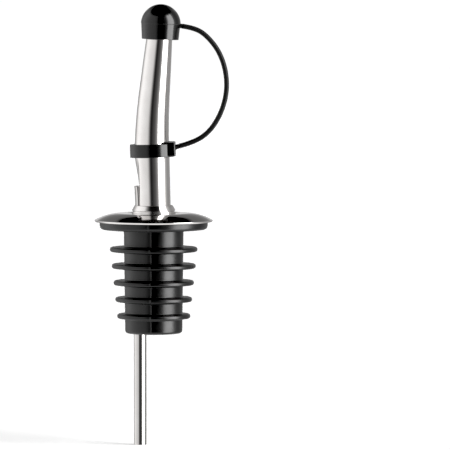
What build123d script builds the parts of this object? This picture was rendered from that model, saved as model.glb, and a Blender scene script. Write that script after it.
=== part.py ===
from build123d import *
import os
from math import asin, atan2, cos, degrees, pi, radians, sin, tan

# A tapered pour spout for a liquor bottle, in millimetres, +Z up.
# The origin is the centre of the bottle lip seat, which is the underside of the stopper's flange.
# The spout bends towards +X in the XZ plane, and the breather tube runs down the -X side.

# Cork stopper: a finned rubber plug with a flange on top
FLANGE_R = 13.8
FLANGE_H = 2.2
FLANGE_LOW_FILLET = 0.9
FLANGE_TOP_FILLET = 0.5
NECK_R = 8.2
CORK_TOP_R = 7.57
CORK_END_R = 7.24
CORK_LENGTH = 26.35
CORK_END_FILLET = 1.1
FIN_COUNT = 5
FIN_TOP_Z = -5.06
FIN_PITCH = 4.23
FIN_TOP_R = 11.1
FIN_STEP = 0.46
FIN_THICK = 1.3
FIN_EDGE_FILLET = 0.4
FIN_ROOT_FILLET = 0.35

# Stem ferrule: the steel tube inside the cork, necked in at its top to hold the spout
STEM_R = 5.55
STEM_WALL = 0.4
STEM_END_Z = -25.6
FERRULE_LIP_Z = 4.6
FERRULE_TOP_Z = 6.1
FERRULE_TOP_R = 4.87
FERRULE_BORE_R = 4.7
FERRULE_BORE_Z = 5.3
FERRULE_CONE_Z = 4.1

# Drip disc: a domed sheet steel collar over the flange
DISC_R = 15.0
DISC_SHEET = 0.5
DISC_TOP_Z = 4.15
DISC_FLAT_R = 8.4
DISC_DOME_R = 13.0

# Spout: a tube that leans a little to -X, then bends towards +X and tapers
SPOUT_WALL = 0.4
SPOUT_BASE_Z = 3.0
SPOUT_R = 4.44
LEAN_DEG = 1.3
BEND_Z = 17.7
BEND_R = 143.0
BEND_DEG = 6.45
TAPER_Z = 18.0
TAPER_SLOPE = 0.026
TAPER_CURVE = 0.00042
SPOUT_TIP_Z = 54.0
SPOUT_STATIONS = (BEND_Z, 20.9, 24.1, 27.3, 30.5, 33.7, 40.5, 47.25)
END_OVERLAP = 1.0

# Dimple pressed into the spout's -X side for the vent, with a floor that ramps out at its top
DIMPLE_FLOOR_R = 3.6
RAMP_Z = 11.3
RAMP_BLEND_R = 9.5
RAMP_TOP_R = 5.2
RAMP_TOP_Z = 20.7
DIMPLE_HALF_DEG = 34.0

# Breather tube: round below, flattened into a curved vent above
BREATHER_R = 1.6
BREATHER_WALL = 0.27
BREATHER_X = -3.45
BREATHER_END_Z = -54.7
FLATTEN_LOW_Z = -9.0
FLATTEN_HIGH_Z = 2.5
VENT_TOP_Z = 11.0
VENT_MID_R = 4.15
VENT_THICK = 1.05
VENT_HALF_DEG = 23.0

# Tether ring: turns freely around the spout, and the tether's pull cocks it a little
RING_Z = 20.0
RING_H = 3.35
RING_R = 5.75
RING_X = -0.25
RING_TILT_DEG = 1.8
RING_BORE_R = 4.72
RING_EDGE = 0.25

# Tether block: the raised square block on the ring's +X side, measured from the ring's own centre
BLOCK_BACK = 3.6
BLOCK_FACE = 5.8
BLOCK_WIDTH = 8.8
BLOCK_H = 3.45
BLOCK_LIFT = 0.35
BLOCK_CORNER = 0.5

# Dust cap: a domed rubber cap, sitting a little cocked on the spout's tip
CAP_SEAM_X = 1.82
CAP_SEAM_Z = 52.1
CAP_TILT_DEG = 2.2
CAP_SEAM_R = 5.03
CAP_DOME_H = 4.9
CAP_STEP = 0.08
CAP_MOUTH_R = 4.65
CAP_SKIRT_H = 4.0
CAP_MOUTH_FILLET = 0.35
CAP_BORE_R = 3.65
CAP_BORE_TOP = 2.6
CAP_BORE_FILLET = 1.0
CAP_GRIP_Z = 51.1

# Tether: one round rubber cord from the cap, out to +X, and back to the ring
TETHER_D = 1.25
TETHER_ROUTE = (
    (7.3, 51.42),
    (10.5, 50.95),
    (13.6, 48.9),
    (16.7, 44.9),
    (18.4, 39.7),
    (18.5, 34.3),
    (16.9, 29.0),
    (14.1, 24.7),
    (10.4, 22.15),
    (6.5, 21.1),
)
RUN_SHARE = 0.45
ROOT_R = 1.15
ROOT_TIP_R = 0.72
ROOT_INSET = 0.6
TETHER_GAP = 0.05


def spout_plane(z):
    """The plane square to the spout's centreline where the centreline is at height z."""
    lean = radians(LEAN_DEG)
    tip_turn = radians(BEND_DEG) - lean
    bend_top = BEND_Z + BEND_R * (sin(tip_turn) + sin(lean))
    turn = asin((min(max(z, BEND_Z), bend_top) - BEND_Z) / BEND_R - sin(lean))
    bend_x = BEND_R * (cos(lean) - cos(turn)) - min(z, BEND_Z) * tan(lean)
    x = bend_x + max(z - bend_top, 0) * tan(tip_turn)
    return Plane(origin=(x, 0, z), x_dir=(cos(turn), 0, -sin(turn)), z_dir=(sin(turn), 0, cos(turn)))


def spout_radius(z):
    """The spout's outer radius, which falls ever faster above TAPER_Z."""
    rise = max(z - TAPER_Z, 0)
    return SPOUT_R - TAPER_SLOPE * rise - TAPER_CURVE * rise**2


def spout_form(inset, overlap):
    """The spout's solid form, inset from its outer surface and run on past both ends by overlap."""
    with BuildPart() as form:
        for z in (SPOUT_BASE_Z - overlap, *SPOUT_STATIONS, SPOUT_TIP_Z + overlap):
            with BuildSketch(spout_plane(z)):
                Circle(spout_radius(z) - inset)
        loft(ruled=True)
    return form.part


def dimple_form(inset):
    """What the dimple takes from the spout: an arc-shaped groove whose floor ramps out at its top."""
    half = radians(DIMPLE_HALF_DEG) + inset / DIMPLE_FLOOR_R
    start = Plane(origin=(0, 0, 0), x_dir=(-cos(half), sin(half), 0), z_dir=(sin(half), cos(half), 0))
    floor_r = DIMPLE_FLOOR_R - inset
    foot_z = SPOUT_BASE_Z - 2 * END_OVERLAP
    ramp_points = ((floor_r, foot_z), (floor_r, RAMP_Z), (RAMP_TOP_R - inset, RAMP_TOP_Z))
    with BuildPart() as form:
        with BuildSketch(start):
            with BuildLine():
                ramp = FilletPolyline(ramp_points, radius=RAMP_BLEND_R)
                Polyline(ramp @ 1, (2 * RAMP_TOP_R, RAMP_TOP_Z), (2 * RAMP_TOP_R, foot_z), ramp @ 0)
            make_face()
        revolve(axis=Axis.Z, revolution_arc=degrees(2 * half))
    return form.part


def vent_form(inset, overlap):
    """The breather tube's solid form: a round run, a flattening stretch and a curved flat vent."""
    vent_arc = CenterArc((0, 0), VENT_MID_R, 180 - VENT_HALF_DEG, 2 * VENT_HALF_DEG)
    with BuildPart() as form:
        with BuildSketch(Plane.XY.offset(BREATHER_END_Z - overlap)):
            with Locations((BREATHER_X, 0)):
                Circle(BREATHER_R - inset)
        extrude(amount=FLATTEN_LOW_Z - BREATHER_END_Z + overlap)
        with BuildSketch(Plane.XY.offset(FLATTEN_LOW_Z)):
            with Locations((BREATHER_X, 0)):
                Circle(BREATHER_R - inset)
        with BuildSketch(Plane.XY.offset(FLATTEN_HIGH_Z)):
            SlotArc(vent_arc, VENT_THICK - 2 * inset)
        loft()
        with BuildSketch(Plane.XY.offset(FLATTEN_HIGH_Z)):
            SlotArc(vent_arc, VENT_THICK - 2 * inset)
        extrude(amount=VENT_TOP_Z - FLATTEN_HIGH_Z + overlap)
    return form.part


def corner_radii(route):
    """The largest arc that each inner corner of the route has room for."""
    radii = []
    for before, corner, after in zip(route, route[1:], route[2:]):
        run_in = Vector(*corner) - Vector(*before)
        run_out = Vector(*after) - Vector(*corner)
        turn = radians(run_in.get_angle(run_out))
        radii.append(RUN_SHARE * min(run_in.length, run_out.length) / tan(turn / 2))
    return radii


def root_form(end, outward):
    """The tapered root by which the tether grows out of a block or the cap."""
    with BuildPart() as form:
        with BuildSketch(Plane(origin=end - outward * (ROOT_INSET + TETHER_D), z_dir=outward)):
            Circle(ROOT_R)
        with BuildSketch(Plane(origin=end, z_dir=outward)):
            Circle(ROOT_TIP_R)
        loft()
    return form.part


def finish(builder, label):
    """Labels a finished piece and writes its STEP file."""
    builder.part.label = label
    export_step(builder.part, f"parts/{label}.step")


os.makedirs("parts", exist_ok=True)

# The spout's outer form is shared by the spout and the braze, and so is the vent's.
spout_outer = spout_form(0, 0) - dimple_form(0)
vent_outer = vent_form(0, 0)

with BuildPart() as spout_tube:
    add(spout_outer)
    add(spout_form(SPOUT_WALL, END_OVERLAP) - dimple_form(SPOUT_WALL), mode=Mode.SUBTRACT)
finish(spout_tube, "spout_tube")

with BuildPart() as breather_tube:
    add(vent_outer)
    add(vent_form(BREATHER_WALL, END_OVERLAP), mode=Mode.SUBTRACT)
finish(breather_tube, "breather_tube")

with BuildPart() as stem_ferrule:
    with BuildSketch(Plane.XZ):
        with BuildLine():
            Polyline(
                (STEM_R, STEM_END_Z),
                (STEM_R, FERRULE_LIP_Z),
                (FERRULE_TOP_R, FERRULE_TOP_Z),
                (FERRULE_BORE_R, FERRULE_TOP_Z),
                (FERRULE_BORE_R, FERRULE_BORE_Z),
                (STEM_R - STEM_WALL, FERRULE_CONE_Z),
                (STEM_R - STEM_WALL, STEM_END_Z),
                close=True,
            )
        make_face()
    revolve(axis=Axis.Z)
finish(stem_ferrule, "stem_ferrule")

with BuildPart() as braze_joint:
    with BuildSketch(Plane.XY.offset(FERRULE_BORE_Z)):
        Circle(FERRULE_BORE_R)
    extrude(amount=FERRULE_TOP_Z - FERRULE_BORE_Z)
    add(spout_outer, mode=Mode.SUBTRACT)
    add(vent_outer, mode=Mode.SUBTRACT)
finish(braze_joint, "braze_joint")

dome_centre = (DISC_FLAT_R, DISC_TOP_Z - DISC_DOME_R)
dome_deg = degrees(asin((DISC_R - DISC_FLAT_R) / DISC_DOME_R))
with BuildPart() as drip_disc:
    with BuildSketch(Plane.XZ):
        with BuildLine():
            top_edge = CenterArc(dome_centre, DISC_DOME_R, 90, -dome_deg)
            low_edge = CenterArc(dome_centre, DISC_DOME_R - DISC_SHEET, 90, -dome_deg)
            Line(top_edge @ 1, low_edge @ 1)
            Polyline(
                top_edge @ 0,
                (STEM_R, DISC_TOP_Z),
                (STEM_R, DISC_TOP_Z - DISC_SHEET),
                low_edge @ 0,
            )
        make_face()
    revolve(axis=Axis.Z)
finish(drip_disc, "drip_disc")

with BuildPart() as cork_stopper:
    with BuildSketch(Plane.XZ):
        with BuildLine():
            Polyline(
                (0, -CORK_LENGTH),
                (CORK_END_R, -CORK_LENGTH),
                (CORK_TOP_R, 0),
                (FLANGE_R, 0),
                (FLANGE_R, FLANGE_H),
                (NECK_R, FLANGE_H),
                (NECK_R, DISC_TOP_Z - DISC_SHEET),
                (0, DISC_TOP_Z - DISC_SHEET),
                close=True,
            )
        make_face()
    revolve(axis=Axis.Z)
    for i in range(FIN_COUNT):
        with BuildSketch(Plane.XY.offset(FIN_TOP_Z - FIN_PITCH * i - FIN_THICK / 2)):
            Circle(FIN_TOP_R - FIN_STEP * i)
        extrude(amount=FIN_THICK)
    rings = cork_stopper.edges().filter_by(GeomType.CIRCLE)
    fin_rims = rings.filter_by(lambda e: FIN_TOP_R - FIN_STEP * FIN_COUNT < e.radius < FIN_TOP_R + FIN_STEP)
    fillet(fin_rims, radius=FIN_EDGE_FILLET)
    rings = cork_stopper.edges().filter_by(GeomType.CIRCLE)
    fin_roots = rings.filter_by(lambda e: CORK_END_R < e.radius < CORK_TOP_R)
    fillet(fin_roots, radius=FIN_ROOT_FILLET)
    rings = cork_stopper.edges().filter_by(GeomType.CIRCLE)
    flange_rims = rings.filter_by(lambda e: e.radius > FLANGE_R - FIN_ROOT_FILLET).sort_by(Axis.Z)
    fillet(flange_rims[0], radius=FLANGE_LOW_FILLET)
    rings = cork_stopper.edges().filter_by(GeomType.CIRCLE)
    flange_rims = rings.filter_by(lambda e: e.radius > FLANGE_R - FIN_ROOT_FILLET).sort_by(Axis.Z)
    fillet(flange_rims[-1], radius=FLANGE_TOP_FILLET)
    fillet(cork_stopper.faces().sort_by(Axis.Z)[0].edges(), radius=CORK_END_FILLET)
    with BuildSketch(Plane.XY.offset(-CORK_LENGTH)):
        Circle(STEM_R)
    extrude(amount=CORK_LENGTH + DISC_TOP_Z, mode=Mode.SUBTRACT)
finish(cork_stopper, "cork_stopper")

# The ring and the cap turn together about the line from the ring's centre to the cap's grip.
ring_centre = spout_plane(RING_Z).origin
grip_centre = spout_plane(CAP_GRIP_Z).origin
turn_line = (grip_centre - ring_centre).normalized()
radii = corner_radii(TETHER_ROUTE)
cap_end = Vector(TETHER_ROUTE[0][0], 0, TETHER_ROUTE[0][1])
cap_run = (Vector(TETHER_ROUTE[1][0], 0, TETHER_ROUTE[1][1]) - cap_end).normalized()
ring_end = Vector(TETHER_ROUTE[-1][0], 0, TETHER_ROUTE[-1][1])
ring_run = (Vector(TETHER_ROUTE[-2][0], 0, TETHER_ROUTE[-2][1]) - ring_end).normalized()

with BuildPart() as cap_tether:
    with BuildLine(Plane.XZ) as route:
        FilletPolyline(TETHER_ROUTE, radius=radii)
    with BuildSketch(Plane(origin=cap_end, z_dir=cap_run)):
        Circle(TETHER_D / 2)
    sweep(path=route.wire())
finish(cap_tether, "cap_tether")

with BuildPart() as tether_ring:
    cock = radians(RING_TILT_DEG)
    ring_up = (-sin(cock), 0, cos(cock))
    ring_plane = Plane(origin=(RING_X, 0, RING_Z), x_dir=(cos(cock), 0, sin(cock)), z_dir=ring_up)
    with BuildSketch(ring_plane.offset(-RING_H / 2)):
        Circle(RING_R)
    extrude(amount=RING_H)
    fillet(tether_ring.edges().filter_by(GeomType.CIRCLE), radius=RING_EDGE)
    with BuildSketch(ring_plane.offset(BLOCK_LIFT - BLOCK_H / 2)):
        with Locations(((BLOCK_BACK + BLOCK_FACE) / 2, 0)):
            Rectangle(BLOCK_FACE - BLOCK_BACK, BLOCK_WIDTH)
    extrude(amount=BLOCK_H)
    face_edges = tether_ring.faces().filter_by(Plane(origin=(0, 0, 0), z_dir=ring_plane.x_dir)).edges()
    fillet(face_edges.filter_by(Axis(ring_plane.origin, ring_up)).group_by(Axis.X)[-1], radius=BLOCK_CORNER)
    add(root_form(ring_end, ring_run))
    with BuildSketch(Plane(origin=ring_centre - turn_line * RING_H, z_dir=turn_line)):
        Circle(RING_BORE_R)
    extrude(amount=2 * RING_H, mode=Mode.SUBTRACT)
finish(tether_ring, "tether_ring")

with BuildPart() as dust_cap:
    tilt = radians(CAP_TILT_DEG)
    cap_axis = Axis((CAP_SEAM_X, 0, CAP_SEAM_Z), (sin(tilt), 0, cos(tilt)))
    cap_plane = Plane(origin=cap_axis.position, x_dir=(cos(tilt), 0, -sin(tilt)), z_dir=(0, -1, 0))
    with BuildSketch(cap_plane):
        with BuildLine():
            dome_r = (CAP_SEAM_R**2 + CAP_DOME_H**2) / (2 * CAP_DOME_H)
            rise = degrees(atan2(dome_r - CAP_DOME_H, CAP_SEAM_R))
            CenterArc((0, CAP_DOME_H - dome_r), dome_r, rise, 90 - rise)
            Polyline(
                (0, CAP_DOME_H),
                (0, -CAP_SKIRT_H),
                (CAP_MOUTH_R, -CAP_SKIRT_H),
                (CAP_SEAM_R - CAP_STEP, 0),
                (CAP_SEAM_R, 0),
            )
        make_face()
    revolve(axis=cap_axis)
    fillet(dust_cap.faces().sort_by(Axis.Z)[0].edges(), radius=CAP_MOUTH_FILLET)
    add(root_form(cap_end - cap_run * TETHER_GAP, cap_run))
    with BuildSketch(cap_plane):
        with BuildLine():
            corner_centre = (CAP_BORE_R - CAP_BORE_FILLET, CAP_BORE_TOP - CAP_BORE_FILLET)
            corner = CenterArc(corner_centre, CAP_BORE_FILLET, 0, 90)
            Polyline(
                corner @ 1,
                (0, CAP_BORE_TOP),
                (0, -CAP_SKIRT_H - END_OVERLAP),
                (CAP_BORE_R, -CAP_SKIRT_H - END_OVERLAP),
                corner @ 0,
            )
        make_face()
    revolve(axis=cap_axis, mode=Mode.SUBTRACT)
finish(dust_cap, "dust_cap")

tether_length = route.wire().length
plain_volume = pi * TETHER_D**2 / 4 * tether_length
print("tether radii", [round(r, 2) for r in radii], "in diameters", round(min(radii) / TETHER_D, 2))
print("tether length", round(tether_length, 2))
print("tether volume", round(cap_tether.part.volume, 3), "against", round(plain_volume, 3))
print("turn line", turn_line, "through", ring_centre)
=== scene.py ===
from math import asin, atan2, ceil, copysign, cos, degrees, exp, hypot, pi, radians, sin, sqrt, tan

import bmesh
import bpy
from mathutils import Matrix, Vector


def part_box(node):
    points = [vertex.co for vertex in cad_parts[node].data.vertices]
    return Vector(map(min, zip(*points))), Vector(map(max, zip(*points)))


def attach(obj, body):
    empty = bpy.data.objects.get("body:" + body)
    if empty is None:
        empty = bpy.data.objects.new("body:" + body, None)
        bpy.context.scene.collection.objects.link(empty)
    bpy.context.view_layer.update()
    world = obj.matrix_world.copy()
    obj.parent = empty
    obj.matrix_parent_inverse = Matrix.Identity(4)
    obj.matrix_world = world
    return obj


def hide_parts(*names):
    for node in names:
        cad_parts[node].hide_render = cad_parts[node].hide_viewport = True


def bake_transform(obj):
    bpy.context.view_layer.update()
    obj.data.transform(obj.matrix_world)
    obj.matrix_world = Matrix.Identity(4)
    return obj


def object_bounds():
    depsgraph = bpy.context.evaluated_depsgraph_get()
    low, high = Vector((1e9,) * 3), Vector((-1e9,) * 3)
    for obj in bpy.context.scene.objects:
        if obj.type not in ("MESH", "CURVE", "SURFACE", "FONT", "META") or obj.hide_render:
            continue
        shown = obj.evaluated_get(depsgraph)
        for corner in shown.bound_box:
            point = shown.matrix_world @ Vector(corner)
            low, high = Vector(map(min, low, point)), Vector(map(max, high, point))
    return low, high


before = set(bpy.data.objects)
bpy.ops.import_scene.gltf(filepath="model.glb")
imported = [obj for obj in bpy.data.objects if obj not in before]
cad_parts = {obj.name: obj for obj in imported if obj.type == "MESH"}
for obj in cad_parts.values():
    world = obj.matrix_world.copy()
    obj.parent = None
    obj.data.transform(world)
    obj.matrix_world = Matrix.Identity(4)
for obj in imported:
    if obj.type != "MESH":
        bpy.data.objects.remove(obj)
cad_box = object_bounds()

# A tapered bottle pour spout. Sizes are in millimetres, in the frame's own axes, and go to metres in
# the mesh helpers. The spout bends towards +X, the tether hangs on +X, and the vent is on -X.
MM = 0.001

# The photograph's framing: the width of the view at the object, and the point at its middle
VIEW_WIDTH = 113.92
VIEW_CENTRE = (18.05, 0.0, 1.1)
VIEW_ELEVATION = 3.2
CAMERA_DISTANCE = 1600.0
SENSOR_WIDTH = 36.0

# Spout: a tube that leans a little to -X, then bends towards +X and tapers
SPOUT_R = 4.44
SPOUT_WALL = 0.4
LEAN_DEG = 1.3
BEND_Z = 17.7
BEND_R = 143.0
BEND_DEG = 6.45
TAPER_Z = 18.0
TAPER_SLOPE = 0.026
TAPER_CURVE = 0.00042
SPOUT_BASE_Z = 3.0
SPOUT_TIP_Z = 54.0

# Dimple in the spout's -X side, with a floor that ramps out at its top
DIMPLE_FLOOR_R = 3.6
RAMP_Z = 11.3
RAMP_SLOPE = 0.17
RAMP_BLEND = 0.8
DIMPLE_FULL_DEG = 26.0
DIMPLE_END_DEG = 42.0
DIMPLE_SOFT = 0.12

# Rings along the spout: closer together up to the top of the dimple
SPOUT_SIDES = 144
LOW_RING_STEP = 0.35
LOW_RING_COUNT = 49
HIGH_RING_STEP = 0.9
HIGH_RING_COUNT = 36
TIP_CLEARANCE = 0.3
LIP_STEPS = 6

# Breather tube: round below, flattened into a curved vent above
BREATHER_R = 1.6
BREATHER_WALL = 0.27
BREATHER_X = -3.45
FLATTEN_LOW_Z = -9.0
FLATTEN_HIGH_Z = 2.5
VENT_MID_R = 4.15
VENT_THICK = 1.05
VENT_HALF_DEG = 23.0
VENT_FLARE = 0.25
FLARE_Z = 6.1
BREATHER_SIDES = 96
BREATHER_END_MARGIN = 0.1
BREATHER_RING_STEP = 0.5
FLATTEN_RING_COUNT = 24
FLARE_RING_COUNT = 9

# Stem ferrule, with the collar at its top
STEM_R = 5.55
STEM_WALL = 0.4
STEM_END_Z = -25.6
COLLAR_LIP_Z = 4.6
COLLAR_TOP_Z = 6.1
COLLAR_TOP_R = 4.87
COLLAR_BORE_R = 4.7
COLLAR_BORE_Z = 5.3
COLLAR_CONE_Z = 4.1
LIP_GROOVE = 0.27
GROOVE_LOW_Z = 4.55
GROOVE_HIGH_Z = 4.73
SHARP_CORNER = 0.03

# Drip disc
DISC_SHEET = 0.5
DISC_TOP_Z = 4.15
DISC_FLAT_R = 8.4
DISC_DOME_R = 13.0
DISC_FLAT_RUN = 1.5
DISC_EDGE = 0.1
EDGE_SQUARENESS = 0.45
EDGE_FULLNESS = 0.6
FIT_GAP = 0.01

# Cork stopper
FLANGE_H = 2.2
NECK_R = 8.2
CORK_TOP_R = 7.57
CORK_END_R = 7.24
FIN_COUNT = 5
FIN_TOP_Z = -5.06
FIN_PITCH = 4.23
FIN_TOP_R = 11.1
FIN_STEP = 0.46
FIN_THICK = 1.3
FIN_DRAFT = 0.08
FIN_ROOT_FILLET = 0.4
FIN_TIP_FILLET = 0.5
FLANGE_DRAFT = 0.25
RIB_DEG = 265.0
RIB_HEIGHT = 0.07
RIB_HALF_WIDTH = 0.13
RIB_INSIDE = 0.6
RIB_ANGLE_STEP = 0.25
RIB_ANGLE_COUNT = 14
CORK_SIDES = 200

# Tether ring and its block, measured from the ring's own centre
RING_Z = 20.0
RING_H = 3.35
RING_R = 5.75
RING_X = -0.25
RING_TILT_DEG = 1.8
RING_BORE_R = 4.72
BLOCK_BACK = 3.6
BLOCK_FACE = 5.8
BLOCK_WIDTH = 8.8
BLOCK_H = 3.45
BLOCK_LIFT = 0.35
BLOCK_CORNER = 0.45
RING_EDGE = 0.2
BORE_EASE = 0.12
SHARP_DEG = 35.0
RING_SIDES = 240

# Dust cap
CAP_SEAM_X = 1.82
CAP_SEAM_Z = 52.1
CAP_TILT_DEG = 2.2
CAP_SEAM_R = 5.03
CAP_DOME_H = 4.9
CAP_STEP = 0.08
CAP_MOUTH_R = 4.65
CAP_SKIRT_H = 4.0
CAP_BORE_R = 3.65
CAP_BORE_TOP = 2.6
CAP_GRIP_Z = 51.1
CAP_SIDES = 128

# Tether: the same route as the frame's, as (X, Z) with Y = 0
TETHER_D = 1.25
TETHER_SIDES = 28
TETHER_ROUTE = (
    (7.3, 51.42),
    (10.5, 50.95),
    (13.6, 48.9),
    (16.7, 44.9),
    (18.4, 39.7),
    (18.5, 34.3),
    (16.9, 29.0),
    (14.1, 24.7),
    (10.4, 22.15),
    (6.5, 21.1),
)
ROOT_R = 1.15
ROOT_TIP_R = 0.58
ROOT_DEPTH = 2.1
ROOT_FLARE = 2.6
ROOT_STEPS = 12
ROOT_SIDES = 40
ROOT_END = 0.03
ROOT_END_SHARE = 0.96

# Meshes: points closer than this are one, and an arc's lead-in is this share of its reach
MERGE_DISTANCE = 0.0005
ARC_LEAD = 0.15
LONGEST_REACH = 0.49

# Materials: noise scales are per metre and bump depths are in metres
NOISE_LOW = 0.3
NOISE_HIGH = 0.7
STEEL_DARK = (0.62, 0.60, 0.59)
STEEL_LIGHT = (0.67, 0.655, 0.645)
STEEL_PATCHES = (260, 260, 190)
STEEL_HAZE_DEPTH = 0.00002
STREAK_DEPTH = 0.000002
LONG_STREAKS = (2600, 2600, 60)
ROUND_STREAKS = (900, 900, 900)
MOULD_MARKS = (120, 120, 3600)
RUBBER_CLOUD = (340, 340, 300)
RUBBER_DEPTH = 0.00003
BRAZE_DARK = (0.30, 0.27, 0.22)
BRAZE_LIGHT = (0.52, 0.48, 0.41)
BRAZE_LUMPS = (1500, 1500, 1500)
BRAZE_DEPTH = 0.0001


# ---------------------------------------------------------------- camera

def make_camera():
    """A long lens at the photograph's angle, aimed at the middle of its frame."""
    data = bpy.data.cameras.new("camera")
    data.sensor_width = SENSOR_WIDTH
    data.lens = SENSOR_WIDTH * CAMERA_DISTANCE / VIEW_WIDTH
    data.clip_start = 0.1
    data.clip_end = 100.0
    camera = bpy.data.objects.new("camera", data)
    bpy.context.scene.collection.objects.link(camera)
    back = Vector((0, -cos(radians(VIEW_ELEVATION)), sin(radians(VIEW_ELEVATION))))
    camera.location = (Vector(VIEW_CENTRE) + back * CAMERA_DISTANCE) * MM
    camera.rotation_euler = (-back).to_track_quat("-Z", "Y").to_euler()
    bpy.context.scene.camera = camera


# ---------------------------------------------------------------- mesh helpers

def smoothstep(value, low, high):
    """0 below low, 1 above high, and a smooth rise between them."""
    t = min(max((value - low) / (high - low), 0), 1)
    return t * t * (3 - 2 * t)


def rounded(corners, steps=6):
    """The closed outline through corners, each (x, y, radius), turned by an arc where its radius isn't 0."""
    outline = []
    for i, (x, y, radius) in enumerate(corners):
        corner = Vector((x, y))
        before = Vector(corners[i - 1][:2]) - corner
        after = Vector(corners[(i + 1) % len(corners)][:2]) - corner
        if radius == 0:
            outline.append(corner)
            continue
        half_angle = before.angle(after) / 2
        reach = min(radius / tan(half_angle), LONGEST_REACH * before.length, LONGEST_REACH * after.length)
        bisector = (before.normalized() + after.normalized()).normalized()
        centre = corner + bisector * reach / cos(half_angle)
        start = corner + before.normalized() * reach - centre
        end = corner + after.normalized() * reach - centre
        sweep = start.angle_signed(end)
        outline.append(centre + start + before.normalized() * reach * ARC_LEAD)
        for k in range(steps + 1):
            outline.append(centre + Matrix.Rotation(-sweep * k / steps, 2) @ start)
        outline.append(centre + end + after.normalized() * reach * ARC_LEAD)
    return [(p.x, p.y) for p in outline]


def subdivided(outline, step):
    """The closed outline with extra points wherever two neighbours are further apart than step."""
    points = []
    for (ax, ay), (bx, by) in zip(outline, outline[1:] + outline[:1]):
        count = max(1, ceil(hypot(bx - ax, by - ay) / step))
        for k in range(count):
            points.append((ax + (bx - ax) * k / count, ay + (by - ay) * k / count))
    return points


def skin(name, rings, looped=False):
    """A smooth mesh piece through closed rings of points, looped back to the first or closed by flat ends."""
    count = len(rings[0])
    spans = len(rings) if looped else len(rings) - 1
    faces = []
    for i in range(spans):
        low = i * count
        high = (i + 1) % len(rings) * count
        for j in range(count):
            k = (j + 1) % count
            faces.append((low + j, low + k, high + k, high + j))
    if not looped:
        faces.append(tuple(range(count)))
        faces.append(tuple(range(len(rings) * count - 1, (len(rings) - 1) * count - 1, -1)))
    mesh = bpy.data.meshes.new(name)
    mesh.from_pydata([Vector(p) * MM for ring in rings for p in ring], [], faces)
    work = bmesh.new()
    work.from_mesh(mesh)
    bmesh.ops.remove_doubles(work, verts=work.verts, dist=MERGE_DISTANCE * MM)
    bmesh.ops.dissolve_degenerate(work, edges=work.edges, dist=MERGE_DISTANCE * MM)
    bmesh.ops.recalc_face_normals(work, faces=work.faces)
    for face in work.faces:
        face.smooth = True
    work.to_mesh(mesh)
    work.free()
    piece = bpy.data.objects.new(name, mesh)
    bpy.context.scene.collection.objects.link(piece)
    return piece


def even_angles(count):
    """The angles of count even steps round a circle."""
    return [2 * pi * k / count for k in range(count)]


def standing(origin, upward):
    """The placing that stands a form on a point, with its Z turned to a direction."""
    turn = Vector((0, 0, 1)).rotation_difference(upward).to_matrix().to_4x4()
    return Matrix.Translation(origin) @ turn


def lathe(name, outline, angles, place=Matrix.Identity(4), swell=None, looped=True):
    """An outline of (r, z), closed if looped, turned about place's Z, with any swell added to r."""
    rings = []
    for r, z in outline:
        ring = []
        for angle in angles:
            reach = r + (swell(angle, r) if swell else 0)
            ring.append(place @ Vector((reach * cos(angle), reach * sin(angle), z)))
        rings.append(ring)
    return skin(name, rings, looped)


def tube_rings(ring_at, heights, low_end, high_end, wall):
    """A tube's rings: up its outer face, over a rounded lip, down its bore and over the other lip."""
    lip = wall / 2
    turns = [pi * k / LIP_STEPS for k in range(LIP_STEPS + 1)]
    rings = [ring_at(z, 0) for z in heights]
    rings += [ring_at(high_end - lip + lip * sin(turn), lip - lip * cos(turn)) for turn in turns]
    rings += [ring_at(z, wall) for z in reversed(heights)]
    rings += [ring_at(low_end + lip - lip * sin(turn), lip + lip * cos(turn)) for turn in turns]
    return rings


def combine(piece, other, operation):
    """Adds another closed mesh to the piece, or cuts it away, as a UNION or a DIFFERENCE."""
    boolean = piece.modifiers.new("combine", "BOOLEAN")
    boolean.operation = operation
    boolean.solver = "EXACT"
    boolean.object = other
    bpy.context.view_layer.update()
    result = piece.evaluated_get(bpy.context.evaluated_depsgraph_get())
    mesh = bpy.data.meshes.new_from_object(result)
    piece.modifiers.clear()
    piece.data = mesh
    bpy.data.objects.remove(other)


def joined(name, pieces):
    """One piece made of several closed meshes that meet."""
    for piece in pieces:
        piece.select_set(True)
    bpy.context.view_layer.objects.active = pieces[0]
    with bpy.context.temp_override(active_object=pieces[0], selected_editable_objects=pieces):
        bpy.ops.object.join()
    pieces[0].name = name
    return pieces[0]


def settle(piece, body, node, material=None):
    """Gives a finished piece its body and any new material, and hides the frame node that it stands for."""
    if material:
        piece.data.materials.append(material)
    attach(piece, body)
    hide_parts(node)


# ---------------------------------------------------------------- materials

def shader(name):
    """A new material and its Principled shader."""
    material = bpy.data.materials.new(name)
    material.use_nodes = True
    return material, material.node_tree, material.node_tree.nodes["Principled BSDF"]


def stretched_noise(tree, scale, detail=3.0, roughness=0.55):
    """Noise in the frame's own axes, with its own scale, per metre, along each one."""
    place = tree.nodes.new("ShaderNodeTexCoord")
    mapping = tree.nodes.new("ShaderNodeMapping")
    mapping.inputs["Scale"].default_value = scale
    noise = tree.nodes.new("ShaderNodeTexNoise")
    noise.inputs["Scale"].default_value = 1.0
    noise.inputs["Detail"].default_value = detail
    noise.inputs["Roughness"].default_value = roughness
    tree.links.new(place.outputs["Object"], mapping.inputs["Vector"])
    tree.links.new(mapping.outputs["Vector"], noise.inputs["Vector"])
    return noise.outputs["Fac"]


def ranged(tree, value, low, high):
    """A noise value spread over low to high."""
    spread = tree.nodes.new("ShaderNodeMapRange")
    spread.inputs["From Min"].default_value = NOISE_LOW
    spread.inputs["From Max"].default_value = NOISE_HIGH
    spread.inputs["To Min"].default_value = low
    spread.inputs["To Max"].default_value = high
    tree.links.new(value, spread.inputs["Value"])
    return spread.outputs["Result"]


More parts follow.
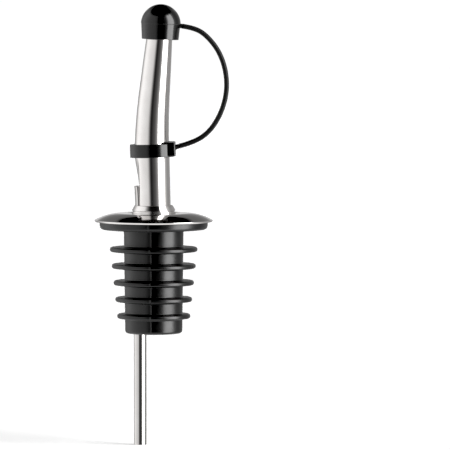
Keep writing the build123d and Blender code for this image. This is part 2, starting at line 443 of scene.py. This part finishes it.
def tinted(tree, value, dark, light):
    """A noise value as a colour between dark and light."""
    ramp = tree.nodes.new("ShaderNodeValToRGB")
    ramp.color_ramp.elements[0].position = NOISE_LOW
    ramp.color_ramp.elements[0].color = (*dark, 1)
    ramp.color_ramp.elements[1].position = NOISE_HIGH
    ramp.color_ramp.elements[1].color = (*light, 1)
    tree.links.new(value, ramp.inputs["Fac"])
    return ramp.outputs["Color"]


def bumped(tree, height, distance, strength, under=None):
    """A bump of a noise value, over another bump if given. The distance is in metres."""
    bump = tree.nodes.new("ShaderNodeBump")
    bump.inputs["Distance"].default_value = distance
    bump.inputs["Strength"].default_value = strength
    tree.links.new(height, bump.inputs["Height"])
    if under:
        tree.links.new(under, bump.inputs["Normal"])
    return bump.outputs["Normal"]


def steel(name, polish, streaks, shade=1.0):
    """Polished stainless steel: fine polishing streaks, faint haze and a few broad soft patches, with its
    colour scaled by shade, where a shade below 1 makes a darker copy that is painted shade.
    """
    material, tree, bsdf = shader(name)
    bsdf.inputs["Metallic"].default_value = 1.0
    fine = stretched_noise(tree, streaks)
    patches = stretched_noise(tree, STEEL_PATCHES, detail=2.0)
    dark = [level * shade for level in STEEL_DARK]
    light = [level * shade for level in STEEL_LIGHT]
    tree.links.new(tinted(tree, patches, dark, light), bsdf.inputs["Base Color"])
    tree.links.new(ranged(tree, fine, polish * 0.75, polish * 1.35), bsdf.inputs["Roughness"])
    haze = bumped(tree, patches, STEEL_HAZE_DEPTH, 0.12)
    tree.links.new(bumped(tree, fine, STREAK_DEPTH, 0.25, haze), bsdf.inputs["Normal"])
    return material


def rubber(name, dark, light, gloss, grain, grain_strength, marks_strength=0.03, shine=0.5):
    """Black moulded rubber, dark to light grey: a fine grain, faint level mould marks and an uneven sheen."""
    material, tree, bsdf = shader(name)
    bsdf.inputs["IOR"].default_value = 1.5
    bsdf.inputs["Specular IOR Level"].default_value = shine
    speckle = stretched_noise(tree, (grain, grain, grain), detail=4.0, roughness=0.6)
    marks = stretched_noise(tree, MOULD_MARKS)
    cloud = stretched_noise(tree, RUBBER_CLOUD, detail=2.0)
    tree.links.new(tinted(tree, cloud, (dark,) * 3, (light,) * 3), bsdf.inputs["Base Color"])
    tree.links.new(ranged(tree, cloud, gloss * 0.88, gloss * 1.15), bsdf.inputs["Roughness"])
    marked = bumped(tree, marks, RUBBER_DEPTH, marks_strength)
    tree.links.new(bumped(tree, speckle, RUBBER_DEPTH, grain_strength, marked), bsdf.inputs["Normal"])
    return material


def braze(name):
    """Dull silver braze, lumpy and a little warm where it was heated."""
    material, tree, bsdf = shader(name)
    bsdf.inputs["Metallic"].default_value = 1.0
    lumps = stretched_noise(tree, BRAZE_LUMPS, detail=4.0)
    tree.links.new(tinted(tree, lumps, BRAZE_DARK, BRAZE_LIGHT), bsdf.inputs["Base Color"])
    tree.links.new(ranged(tree, lumps, 0.28, 0.5), bsdf.inputs["Roughness"])
    tree.links.new(bumped(tree, lumps, BRAZE_DEPTH, 0.5), bsdf.inputs["Normal"])
    return material


# ---------------------------------------------------------------- spout and breather tube

def spout_frame(z):
    """The spout's centre, and the direction across it, where its centreline is at height z."""
    lean = radians(LEAN_DEG)
    tip_turn = radians(BEND_DEG) - lean
    bend_top = BEND_Z + BEND_R * (sin(tip_turn) + sin(lean))
    turn = asin((min(max(z, BEND_Z), bend_top) - BEND_Z) / BEND_R - sin(lean))
    bend_x = BEND_R * (cos(lean) - cos(turn)) - min(z, BEND_Z) * tan(lean)
    x = bend_x + max(z - bend_top, 0) * tan(tip_turn)
    return Vector((x, 0, z)), Vector((cos(turn), 0, -sin(turn)))


def spout_radius(z):
    """The spout's outer radius, which falls ever faster above TAPER_Z."""
    rise = max(z - TAPER_Z, 0)
    return SPOUT_R - TAPER_SLOPE * rise - TAPER_CURVE * rise**2


def dimple_floor(z):
    """The dimple floor's distance from Z: level below the ramp, and then running out."""
    rise = z - RAMP_Z
    if rise > RAMP_BLEND:
        return DIMPLE_FLOOR_R + RAMP_SLOPE * rise
    return DIMPLE_FLOOR_R + RAMP_SLOPE * max(rise + RAMP_BLEND, 0) ** 2 / (4 * RAMP_BLEND)


def spout_ring(z, inset):
    """One ring of the spout's surface, inset from its outer face, with the dimple pressed in."""
    centre, across = spout_frame(z)
    ring = []
    for angle in even_angles(SPOUT_SIDES):
        point = centre + (across * cos(angle) + Vector((0, sin(angle), 0))) * (spout_radius(z) - inset)
        reach = hypot(point.x, point.y)
        side = degrees(atan2(abs(point.y), -point.x))
        over = reach - (dimple_floor(z) - inset)
        press = (over + sqrt(over**2 + DIMPLE_SOFT**2)) / 2
        press *= 1 - smoothstep(side, DIMPLE_FULL_DEG, DIMPLE_END_DEG)
        shrink = (reach - press) / reach
        ring.append(Vector((point.x * shrink, point.y * shrink, point.z)))
    return ring


def make_spout(material):
    """The spout: an outer face, a rounded lip at each end, and an inner face."""
    low_part = [SPOUT_BASE_Z + LOW_RING_STEP * k for k in range(1, LOW_RING_COUNT + 1)]
    high_part = [low_part[-1] + HIGH_RING_STEP * k for k in range(1, HIGH_RING_COUNT + 1)]
    heights = [z for z in low_part + high_part if z < SPOUT_TIP_Z - TIP_CLEARANCE]
    rings = tube_rings(spout_ring, heights, SPOUT_BASE_Z, SPOUT_TIP_Z, SPOUT_WALL)
    settle(skin("pour_spout", rings, looped=True), "root", "spout_tube", material)


def vent_outline(inset):
    """The vent's cross-section: a slot bent round Z, starting at its inner -X side."""
    half = radians(VENT_HALF_DEG)
    end_r = VENT_THICK / 2 - inset
    long_side = 2 * half * VENT_MID_R
    total = 2 * long_side + 2 * pi * end_r
    points = []
    for k in range(BREATHER_SIDES):
        travel = (total * k / BREATHER_SIDES + long_side / 2) % total
        if travel < long_side:
            angle, offset, slip = half - travel / VENT_MID_R, -end_r, 0
        elif travel < long_side + pi * end_r:
            turn = (travel - long_side) / end_r
            angle, offset, slip = -half, -end_r * cos(turn), -end_r * sin(turn)
        elif travel < 2 * long_side + pi * end_r:
            angle, offset, slip = -half + (travel - long_side - pi * end_r) / VENT_MID_R, end_r, 0
        else:
            turn = (travel - 2 * long_side - pi * end_r) / end_r
            angle, offset, slip = half, end_r * cos(turn), end_r * sin(turn)
        reach = VENT_MID_R + offset
        x = -reach * cos(angle) + slip * sin(angle)
        y = reach * sin(angle) + slip * cos(angle)
        points.append(Vector((x, y, 0)))
    return points


def breather_ring(z, inset):
    """One ring of the breather tube at height z: a circle, a flattening blend, or the vent's slot."""
    share = smoothstep(z, FLATTEN_LOW_Z, FLATTEN_HIGH_Z)
    flare = VENT_FLARE * smoothstep(z, FLARE_Z, FLARE_Z + 2 * (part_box("breather_tube")[1].z / MM - FLARE_Z))
    ring = []
    for k, slot_point in enumerate(vent_outline(inset)):
        angle = -2 * pi * k / BREATHER_SIDES
        round_x = BREATHER_X + (BREATHER_R - inset) * cos(angle)
        round_y = (BREATHER_R - inset) * sin(angle)
        x = round_x + (slot_point.x - round_x) * share - 2 * flare
        ring.append(Vector((x, round_y + (slot_point.y - round_y) * share, z)))
    return ring


def make_breather(material):
    """The breather tube, from its square-cut lower end to the vent beside the spout."""
    low_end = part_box("breather_tube")[0].z / MM
    high_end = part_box("breather_tube")[1].z / MM
    margin = BREATHER_WALL / 2 + BREATHER_END_MARGIN
    heights = [low_end + margin, low_end + 1.0]
    heights += [FLATTEN_LOW_Z + BREATHER_RING_STEP * k for k in range(FLATTEN_RING_COUNT)]
    heights += [FLATTEN_HIGH_Z + k for k in (1, 2, 3)]
    heights += [FLARE_Z + BREATHER_RING_STEP * k for k in range(FLARE_RING_COUNT)]
    heights += [high_end - margin]
    rings = tube_rings(breather_ring, heights, low_end, high_end, BREATHER_WALL)
    piece = skin("breather_tube_and_vent", rings, looped=True)
    settle(piece, "root", "breather_tube", material)


# ---------------------------------------------------------------- ferrule, disc and cork

def make_ferrule(material):
    """The stem ferrule: a thin tube, rolled into a small conical collar above the disc."""
    bore = STEM_R - STEM_WALL
    outline = rounded([
        (STEM_R, STEM_END_Z, 0.1),
        (STEM_R, COLLAR_LIP_Z - 0.1, SHARP_CORNER),
        (STEM_R - LIP_GROOVE, GROOVE_LOW_Z, SHARP_CORNER),
        (STEM_R - LIP_GROOVE, GROOVE_HIGH_Z, SHARP_CORNER),
        (STEM_R - 0.02, COLLAR_LIP_Z + 0.2, 0.05),
        (COLLAR_TOP_R, COLLAR_TOP_Z, 0.12),
        (COLLAR_BORE_R, COLLAR_TOP_Z, 0.05),
        (COLLAR_BORE_R, COLLAR_BORE_Z, 0.1),
        (bore, COLLAR_CONE_Z, 0.2),
        (bore, STEM_END_Z, 0.1),
    ])
    piece = lathe("stem_ferrule_and_collar", subdivided(outline, 2.0), even_angles(SPOUT_SIDES))
    settle(piece, "root", "stem_ferrule", material)


def make_disc(material):
    """The drip disc: a flat ring that runs smoothly into a dome, with a polished cut edge."""
    rim_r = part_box("drip_disc")[1].x / MM
    dome = asin((rim_r - DISC_FLAT_R) / DISC_DOME_R)
    cut = dome * (1 - DISC_EDGE / (rim_r - DISC_FLAT_R))
    centre_z = DISC_TOP_Z - DISC_DOME_R
    low_r = DISC_DOME_R - DISC_SHEET
    dome_steps = 40
    rim_steps = 10
    flat_radii = (STEM_R + FIT_GAP, DISC_FLAT_R - DISC_FLAT_RUN)
    top = [(r, DISC_TOP_Z) for r in flat_radii]
    under = [(r, DISC_TOP_Z - DISC_SHEET) for r in reversed(flat_radii)]
    for k in range(dome_steps + 1):
        turn = cut * k / dome_steps
        top.append((DISC_FLAT_R + DISC_DOME_R * sin(turn), centre_z + DISC_DOME_R * cos(turn)))
        under.insert(0, (DISC_FLAT_R + low_r * sin(turn), centre_z + low_r * cos(turn)))
    rim = []
    for k in range(1, rim_steps):
        turn = pi * k / rim_steps
        squared = copysign(DISC_SHEET / 2 * abs(cos(turn)) ** EDGE_SQUARENESS, cos(turn))
        angle = cut + DISC_EDGE * sin(turn) ** EDGE_FULLNESS / DISC_DOME_R
        reach = (DISC_DOME_R + low_r) / 2 + squared
        rim.append((DISC_FLAT_R + reach * sin(angle), centre_z + reach * cos(angle)))
    piece = lathe("drip_disc_shell", top + rim + under, even_angles(RING_SIDES))
    settle(piece, "root", "drip_disc", material)


def cork_angles():
    """Angles round the cork, closer together at its two mould ribs."""
    around = {round(360 * k / CORK_SIDES, 3) for k in range(CORK_SIDES)}
    for k in range(-RIB_ANGLE_COUNT, RIB_ANGLE_COUNT + 1):
        around |= {round((RIB_DEG + side + RIB_ANGLE_STEP * k) % 360, 3) for side in (0, 180)}
    return [radians(a) for a in sorted(around)]


def cork_rib(angle, r):
    """The mould's thin parting rib, on the front and the back of the cork's sides."""
    if r < CORK_END_R - RIB_INSIDE:
        return 0
    away = min(abs((degrees(angle) - RIB_DEG - side + 180) % 360 - 180) for side in (0, 180))
    return RIB_HEIGHT * exp(-((radians(away) * r / RIB_HALF_WIDTH) ** 2))


def make_cork(material):
    """The rubber stopper: flange, neck, tapered body and five fins, with its mould's parting ribs."""
    low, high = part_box("cork_stopper")
    end_z = low.z / MM
    flange_r = high.x / MM
    neck_top = high.z / MM
    bore = STEM_R + FIT_GAP
    corners = [
        (bore, neck_top, 0.05),
        (bore, end_z, 0.25),
        (CORK_END_R, end_z, 1.1),
    ]
    for i in reversed(range(FIN_COUNT)):
        fin_z = FIN_TOP_Z - FIN_PITCH * i
        fin_r = FIN_TOP_R - FIN_STEP * i
        body_r = CORK_TOP_R + (CORK_END_R - CORK_TOP_R) * fin_z / end_z
        corners += [
            (body_r, fin_z - FIN_THICK / 2, FIN_ROOT_FILLET),
            (fin_r, fin_z - FIN_THICK / 2 + FIN_DRAFT, FIN_TIP_FILLET),
            (fin_r, fin_z + FIN_THICK / 2 - FIN_DRAFT, FIN_TIP_FILLET),
            (body_r, fin_z + FIN_THICK / 2, FIN_ROOT_FILLET),
        ]
    corners += [
        (CORK_TOP_R, 0, 0.5),
        (flange_r - FLANGE_DRAFT, 0, 0.9),
        (flange_r, FLANGE_H, 0.45),
        (NECK_R, FLANGE_H, 0.1),
        (NECK_R, neck_top, 0.1),
    ]
    outline = subdivided(rounded(corners), 1.2)
    piece = lathe("cork_stopper_with_fins", outline, cork_angles(), swell=cork_rib)
    settle(piece, "root", "cork_stopper", material)


# ---------------------------------------------------------------- ring, cap and tether

def route_point(i):
    """A point of the tether's route."""
    return Vector((TETHER_ROUTE[i][0], 0, TETHER_ROUTE[i][1]))


def make_root(name, end, outward, material):
    """The flared root by which the tether grows out of the block or the cap."""
    outline = [(0, 0), (ROOT_R, 0)]
    for k in range(1, ROOT_STEPS + 1):
        share = k / ROOT_STEPS
        outline.append((ROOT_TIP_R + (ROOT_R - ROOT_TIP_R) * (1 - share) ** ROOT_FLARE, ROOT_DEPTH * share))
    outline += [(ROOT_TIP_R * ROOT_END_SHARE, ROOT_DEPTH + ROOT_END), (0, ROOT_DEPTH + ROOT_END)]
    place = standing(end - outward * ROOT_DEPTH, outward)
    root = lathe(name, outline, even_angles(ROOT_SIDES), place, looped=False)
    root.data.materials.append(material)
    return root


def block_outline(inset):
    """The plan of the ring's block, drawn in by inset on every side."""
    side = BLOCK_WIDTH / 2 - inset
    face = BLOCK_FACE - inset
    back = BLOCK_BACK + inset
    return rounded([
        (back, -side, RING_EDGE),
        (face, -side, BLOCK_CORNER),
        (face, side, BLOCK_CORNER),
        (back, side, RING_EDGE),
    ])


def make_block(place):
    """The square block on the ring, with every edge eased."""
    profile = rounded([
        (2 * RING_EDGE, -BLOCK_H / 2, 0),
        (0, -BLOCK_H / 2, RING_EDGE),
        (0, BLOCK_H / 2, RING_EDGE),
        (2 * RING_EDGE, BLOCK_H / 2, 0),
    ])
    rings = []
    for inset, z in profile:
        rings.append([place @ Vector((x, y, BLOCK_LIFT + z)) for x, y in block_outline(inset)])
    return skin("ring_block", rings)


def make_ring(material, cord_material):
    """The tether ring, with the raised square block and the tether's root on its +X side."""
    place = Matrix.Translation((RING_X, 0, RING_Z)) @ Matrix.Rotation(-radians(RING_TILT_DEG), 4, "Y")
    outline = rounded([
        (RING_BORE_R / 2, -RING_H / 2, 0),
        (RING_R, -RING_H / 2, RING_EDGE),
        (RING_R, RING_H / 2, RING_EDGE),
        (RING_BORE_R / 2, RING_H / 2, 0),
    ])
    angles = even_angles(RING_SIDES)
    body = lathe("ring_body", outline, angles, place, looped=False)
    combine(body, make_block(place), "UNION")
    centre = spout_frame(RING_Z)[0]
    turn_line = spout_frame(CAP_GRIP_Z)[0] - centre
    bore = [
        (RING_BORE_R + BORE_EASE, -RING_H),
        (RING_BORE_R + BORE_EASE, -RING_H / 2),
        (RING_BORE_R, BORE_EASE - RING_H / 2),
        (RING_BORE_R, RING_H / 2 - BORE_EASE),
        (RING_BORE_R + BORE_EASE, RING_H / 2),
        (RING_BORE_R + BORE_EASE, RING_H),
    ]
    bore_form = lathe("ring_bore", bore, angles, standing(centre, turn_line), looped=False)
    combine(body, bore_form, "DIFFERENCE")
    body.data.set_sharp_from_angle(angle=radians(SHARP_DEG))
    body.data.materials.clear()
    body.data.materials.append(material)
    end = route_point(-1)
    root = make_root("ring_root", end, (route_point(-2) - end).normalized(), cord_material)
    settle(joined("tether_ring_and_block", [body, root]), "ring", "tether_ring")


def make_cap(material, cord_material):
    """The dust cap: a dome over a tapered skirt, with a fine step at its seam and a blind bore."""
    tilt = Matrix.Rotation(radians(CAP_TILT_DEG), 4, "Y")
    place = Matrix.Translation((CAP_SEAM_X, 0, CAP_SEAM_Z)) @ tilt
    dome_r = (CAP_SEAM_R**2 + CAP_DOME_H**2) / (2 * CAP_DOME_H)
    start = asin((dome_r - CAP_DOME_H) / dome_r)
    outline = [(0, CAP_DOME_H)]
    steps = 41
    for k in range(1, steps):
        turn = pi / 2 - (pi / 2 - start) * k / steps
        outline.append((dome_r * cos(turn), CAP_DOME_H - dome_r + dome_r * sin(turn)))
    skirt = [
        (CAP_SEAM_R, 0.02, SHARP_CORNER),
        (CAP_SEAM_R - CAP_STEP, -CAP_STEP, SHARP_CORNER),
        (CAP_MOUTH_R, -CAP_SKIRT_H, 0.16),
        (CAP_BORE_R, -CAP_SKIRT_H, 0.12),
        (CAP_BORE_R, CAP_BORE_TOP, 1.0),
        (0, CAP_BORE_TOP, 0),
        (0, CAP_DOME_H, 0),
    ]
    outline += rounded(skirt)[:-1]
    body = lathe("cap_body", subdivided(outline, 0.6)[:-1], even_angles(CAP_SIDES), place)
    body.data.materials.append(material)
    end = route_point(0)
    root = make_root("cap_root", end, (route_point(1) - end).normalized(), cord_material)
    settle(joined("dust_cap_dome", [body, root]), "cap", "dust_cap")


def tether_line():
    """The tether's smooth line: the points of a NURBS curve through its route, and the curve's own ends."""
    curve = bpy.data.curves.new("tether_line", "CURVE")
    curve.dimensions = "3D"
    curve.resolution_u = 24
    spline = curve.splines.new("NURBS")
    spline.points.add(len(TETHER_ROUTE) - 1)
    for point, (x, z) in zip(spline.points, TETHER_ROUTE):
        point.co = (x * MM, 0, z * MM, 1)
    spline.order_u = 3
    spline.use_endpoint_u = True
    holder = bpy.data.objects.new("tether_line", curve)
    bpy.context.scene.collection.objects.link(holder)
    bpy.context.view_layer.update()
    line = bpy.data.meshes.new_from_object(holder.evaluated_get(bpy.context.evaluated_depsgraph_get()))
    points = [v.co / MM for v in line.vertices]
    bpy.data.objects.remove(holder)
    return points


def make_tether(material):
    """The tether: a round rubber cord from the cap to the ring's block."""
    points = tether_line()
    rings = []
    for i, point in enumerate(points):
        along = (points[min(i + 1, len(points) - 1)] - points[max(i - 1, 0)]).normalized()
        outward = along.cross(Vector((0, 1, 0))).normalized()
        ring = []
        for angle in even_angles(TETHER_SIDES):
            ring.append(point + (outward * cos(angle) + Vector((0, sin(angle), 0))) * TETHER_D / 2)
        rings.append(ring)
    piece = skin("cap_tether_cord", rings)
    piece.data.materials.append(material)
    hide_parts("cap_tether")
    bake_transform(piece)


# ---------------------------------------------------------------- studio

# The studio round the object, low down: (azimuth from the front, -Y, positive to +X, brightness)
WALLS = (
    (-180, 0.38), (-156, 0.45), (-142, 0.6), (-130, 0.9), (-120, 1.35), (-105, 1.5), (-88, 1.42),
    (-70, 1.25), (-47, 1.1), (-33, 1.0), (-26, 0.8), (-20, 0.45), (-14, 0.12), (-8, 0.03),
    (0, 0.05), (8, 0.09), (16, 0.12), (24, 0.2), (31, 0.33), (37, 0.65), (44, 1.3), (85, 1.45),
    (93, 0.9), (101, 0.62), (112, 0.42), (125, 0.4), (150, 0.48), (180, 0.38),
)
# Behind the object, by elevation, less a share of the angle from straight behind
BACK = (
    (-90, 0.4), (-4, 0.4), (0, 0.65), (2.5, 0.75), (6, 0.42), (9, 0.25), (15, 0.19), (23, 0.17), (27, 0.005),
    (90, 0.005),
)
BACK_SPREAD = 0.85
BACK_STARTS = (142.0, 158.0)
WALL_SCALE = 2.0
BLACK_POINT = 0.011
SOFTBOX = 8.0
SOFTBOX_AZIMUTH = (41.0, 86.0)
SOFTBOX_ELEVATION = 50.0
SOFTBOX_EDGE = 5.0
FLOOR_STARTS = (-25.0, -45.0)
FLOOR_LEVEL = 1.3
TOP_STARTS = (43.0, 50.0)
TOP_LEVEL = 0.02
BACKDROP_LEVEL = 1.02

# The floor
FLOOR_HALF_SIZE = 3000.0
FLOOR_DARK = 0.9
FLOOR_LIGHT = 0.92
FLOOR_GLOW = 0.35


def wall_ramp(tree, angle, stops):
    """A band of the studio, as its brightness at each angle between its first and last stops."""
    first = stops[0][0]
    span = stops[-1][0] - first
    share = math_node(tree, "DIVIDE", math_node(tree, "SUBTRACT", angle, float(first)), float(span))
    ramp = tree.nodes.new("ShaderNodeValToRGB")
    elements = ramp.color_ramp.elements
    while len(elements) < len(stops):
        elements.new(0.5)
    for element, (stop, level) in zip(elements, stops):
        shade = level / WALL_SCALE
        element.position = (stop - first) / span
        element.color = (shade, shade, shade, 1)
    tree.links.new(share, ramp.inputs["Fac"])
    return ramp.outputs["Color"]


def math_node(tree, operation, first, second=None):
    """A Math node of two values, each a number or an output."""
    made = tree.nodes.new("ShaderNodeMath")
    made.operation = operation
    for socket, value in zip(made.inputs, (first, second)):
        if isinstance(value, (int, float)):
            socket.default_value = value
        elif value is not None:
            tree.links.new(value, socket)
    return made.outputs[0]


def smooth_edge(tree, value, low, high):
    """0 below low, 1 above high, smooth between, and falling instead where high is the lower one."""
    made = tree.nodes.new("ShaderNodeMapRange")
    made.interpolation_type = "SMOOTHSTEP"
    rising = high > low
    made.inputs["From Min"].default_value = min(low, high)
    made.inputs["From Max"].default_value = max(low, high)
    made.inputs["To Min"].default_value = 0.0 if rising else 1.0
    made.inputs["To Max"].default_value = 1.0 if rising else 0.0
    tree.links.new(value, made.inputs["Value"])
    return made.outputs["Result"]


def mixed(tree, share, first, second):
    """A mix of two colours, each an output or a grey level."""
    made = tree.nodes.new("ShaderNodeMix")
    made.data_type = "RGBA"
    tree.links.new(share, made.inputs["Factor"])
    for socket, value in ((made.inputs[6], first), (made.inputs[7], second)):
        if isinstance(value, (int, float)):
            socket.default_value = (value, value, value, 1)
        else:
            tree.links.new(value, socket)
    return made.outputs[2]


def make_studio():
    """A studio that is a white backdrop to the camera, and to the object grey walls with one softbox."""
    world = bpy.data.worlds.new("studio")
    bpy.context.scene.world = world
    world.use_nodes = True
    tree = world.node_tree
    tree.nodes.clear()
    place = tree.nodes.new("ShaderNodeTexCoord")
    parts = tree.nodes.new("ShaderNodeSeparateXYZ")
    tree.links.new(place.outputs["Generated"], parts.inputs["Vector"])
    toward_camera = math_node(tree, "MULTIPLY", parts.outputs["Y"], -1.0)
    turn = math_node(tree, "ARCTAN2", parts.outputs["X"], toward_camera)
    azimuth = math_node(tree, "DEGREES", turn)
    away = math_node(tree, "ABSOLUTE", azimuth)
    elevation = math_node(tree, "DEGREES", math_node(tree, "ARCSINE", parts.outputs["Z"]))
    walls = mixed(
        tree,
        smooth_edge(tree, elevation, *TOP_STARTS),
        wall_ramp(tree, azimuth, WALLS),
        TOP_LEVEL / WALL_SCALE,
    )
    aside = math_node(tree, "MULTIPLY", math_node(tree, "SUBTRACT", 180.0, away), BACK_SPREAD)
    behind = wall_ramp(tree, math_node(tree, "SUBTRACT", elevation, aside), BACK)
    walls = mixed(tree, smooth_edge(tree, away, *BACK_STARTS), walls, behind)
    sides = math_node(
        tree,
        "MULTIPLY",
        smooth_edge(tree, azimuth, SOFTBOX_AZIMUTH[0], SOFTBOX_AZIMUTH[0] + SOFTBOX_EDGE),
        smooth_edge(tree, azimuth, SOFTBOX_AZIMUTH[1], SOFTBOX_AZIMUTH[1] - SOFTBOX_EDGE),
    )
    top = smooth_edge(tree, elevation, SOFTBOX_ELEVATION, SOFTBOX_ELEVATION - SOFTBOX_EDGE)
    lit = mixed(tree, math_node(tree, "MULTIPLY", sides, top), walls, SOFTBOX / WALL_SCALE)
    lit = mixed(tree, smooth_edge(tree, elevation, *FLOOR_STARTS), lit, FLOOR_LEVEL / WALL_SCALE)
    seen = tree.nodes.new("ShaderNodeLightPath")
    shown = mixed(tree, seen.outputs["Is Camera Ray"], lit, BACKDROP_LEVEL / WALL_SCALE)
    background = tree.nodes.new("ShaderNodeBackground")
    background.inputs["Strength"].default_value = WALL_SCALE
    output = tree.nodes.new("ShaderNodeOutputWorld")
    tree.links.new(shown, background.inputs["Color"])
    tree.links.new(background.outputs["Background"], output.inputs["Surface"])


def make_floor():
    """A plain pale floor at the breather tube's lower end."""
    size = FLOOR_HALF_SIZE
    z = cad_box[0].z / MM
    mesh = bpy.data.meshes.new("floor")
    corners = [(-size, -size, z), (size, -size, z), (size, size, z), (-size, size, z)]
    mesh.from_pydata([Vector(c) * MM for c in corners], [], [(0, 1, 2, 3)])
    floor = bpy.data.objects.new("floor", mesh)
    bpy.context.scene.collection.objects.link(floor)
    material, tree, bsdf = shader("floor_paper")
    paper = stretched_noise(tree, (90, 90, 90))
    tint = tinted(tree, paper, (FLOOR_DARK,) * 3, (FLOOR_LIGHT,) * 3)
    tree.links.new(tint, bsdf.inputs["Base Color"])
    bsdf.inputs["Roughness"].default_value = 0.9
    bsdf.inputs["Specular IOR Level"].default_value = 0.1
    bsdf.inputs["Emission Color"].default_value = (1, 1, 1, 1)
    bsdf.inputs["Emission Strength"].default_value = FLOOR_GLOW
    mesh.materials.append(material)
    floor.visible_glossy = False


# ---------------------------------------------------------------- the scene

make_camera()
view = bpy.context.scene.view_settings
view.view_transform = "Standard"
view.use_curve_mapping = True
view.curve_mapping.black_level = (BLACK_POINT,) * 3
view.curve_mapping.update()

cap_rubber = rubber(
    "glossy_black_rubber",
    dark=0.0018,
    light=0.0032,
    gloss=0.17,
    grain=5200,
    grain_strength=0.06,
)
cord_rubber = rubber(
    "tether_black_rubber",
    dark=0.0022,
    light=0.0038,
    gloss=0.5,
    grain=4200,
    grain_strength=0.12,
    shine=0.3,
)
cork_rubber = rubber(
    "satin_black_rubber",
    dark=0.0022,
    light=0.004,
    gloss=0.31,
    grain=4600,
    grain_strength=0.16,
    marks_strength=0.10,
)
spout_steel = steel("polished_spout_steel", 0.085, LONG_STREAKS)
# The breather tube's steel is this same steel with its colour darkened to 0.82: painted shade, standing in
# for the darker reflections on the tube.
tube_steel_painted_dark = steel("polished_tube_steel_painted_dark", 0.075, LONG_STREAKS, 0.82)
disc_steel = steel("polished_disc_steel", 0.06, ROUND_STREAKS)

make_tether(cord_rubber)
make_spout(spout_steel)
make_breather(tube_steel_painted_dark)
make_ferrule(disc_steel)
make_disc(disc_steel)
make_cork(cork_rubber)
make_ring(cap_rubber, cord_rubber)
make_cap(cap_rubber, cord_rubber)
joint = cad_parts["braze_joint"]
joint.data.materials.clear()
joint.data.materials.append(braze("silver_braze"))
make_studio()
make_floor()
